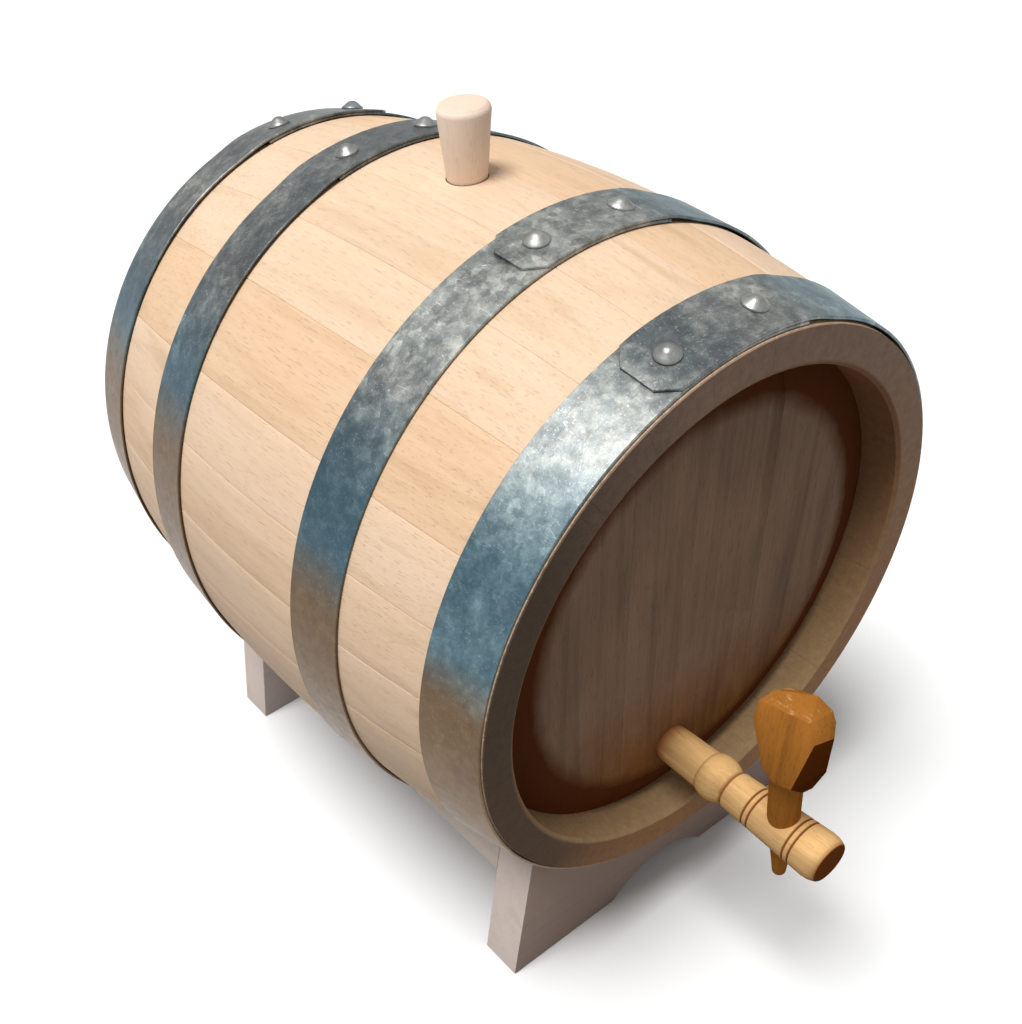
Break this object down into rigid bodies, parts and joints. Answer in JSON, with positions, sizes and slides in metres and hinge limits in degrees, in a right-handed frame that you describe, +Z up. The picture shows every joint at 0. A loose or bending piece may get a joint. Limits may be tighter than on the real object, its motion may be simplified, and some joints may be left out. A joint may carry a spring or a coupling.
{
  "type": "oak barrel with tap",
  "caption": "Small oak barrel lying in a wooden cradle stand, bound with riveted galvanised hoops, with a tapered bung on top and a wooden tap with a turning key in its front head.",
  "frame": {"origin": "on the floor, under the middle of the whole object's box", "axes": "+Z up from the stand's feet, +Y along the barrel away from the tap, +X to the right seen from the tap end"},
  "size_m": [0.188, 0.252, 0.2385],
  "materials": {
    "oak_staves": "matte",
    "oak_heads": "matte",
    "dowel_wood": "matte",
    "galvanised_steel": "satin",
    "rivet_steel": "satin",
    "stand_wood": "matte",
    "tap_wood": "satin",
    "key_wood": "satin",
    "bung_wood": "matte"
  },
  "bodies": {
    "stand": {"stand_front_board": "stand_wood", "stand_rear_board": "stand_wood", "stand_left_rail": "stand_wood", "stand_right_rail": "stand_wood", "stand_dowels": "dowel_wood"},
    "barrel": {"bung_stave": "oak_staves", "stave_02": "oak_staves", "stave_03": "oak_staves", "stave_04": "oak_staves", "stave_05": "oak_staves", "stave_06": "oak_staves", "stave_07": "oak_staves", "stave_08": "oak_staves", "stave_09": "oak_staves", "stave_10": "oak_staves", "stave_11": "oak_staves", "stave_12": "oak_staves", "stave_13": "oak_staves", "stave_14": "oak_staves", "stave_15": "oak_staves", "stave_16": "oak_staves", "stave_17": "oak_staves", "stave_18": "oak_staves", "stave_19": "oak_staves", "stave_20": "oak_staves", "stave_21": "oak_staves", "stave_22": "oak_staves", "stave_23": "oak_staves", "stave_24": "oak_staves", "stave_25": "oak_staves", "front_head_left_board": "oak_heads", "front_head_middle_board": "oak_heads", "front_head_right_board": "oak_heads", "rear_head_left_board": "oak_heads", "rear_head_middle_board": "oak_heads", "rear_head_right_board": "oak_heads", "front_head_dowels": "dowel_wood", "rear_head_dowels": "dowel_wood", "front_head_hoop": "galvanised_steel", "front_bilge_hoop": "galvanised_steel", "rear_bilge_hoop": "galvanised_steel", "rear_head_hoop": "galvanised_steel", "front_head_hoop_rivets": "rivet_steel", "front_bilge_hoop_rivets": "rivet_steel", "rear_bilge_hoop_rivets": "rivet_steel", "rear_head_hoop_rivets": "rivet_steel", "tap_body": "tap_wood"},
    "bung": {"bung": "bung_wood"},
    "tap_key": {"tap_key": "key_wood"}
  },
  "joints": [
    {"name": "barrel_lift", "type": "slide", "parent": "stand", "child": "barrel", "axis": [0, 0, 1], "range_m": [0, 0.1]},
    {"name": "bung_lift", "type": "slide", "parent": "barrel", "child": "bung", "axis": [0, 0, 1], "range_m": [0, 0.04]},
    {"name": "key_turn", "type": "hinge", "parent": "barrel", "child": "tap_key", "pos_m": [-0.0048, -0.1093, 0.0748], "axis": [-0.1305, 0, 0.9914], "continuous": true}
  ]
}
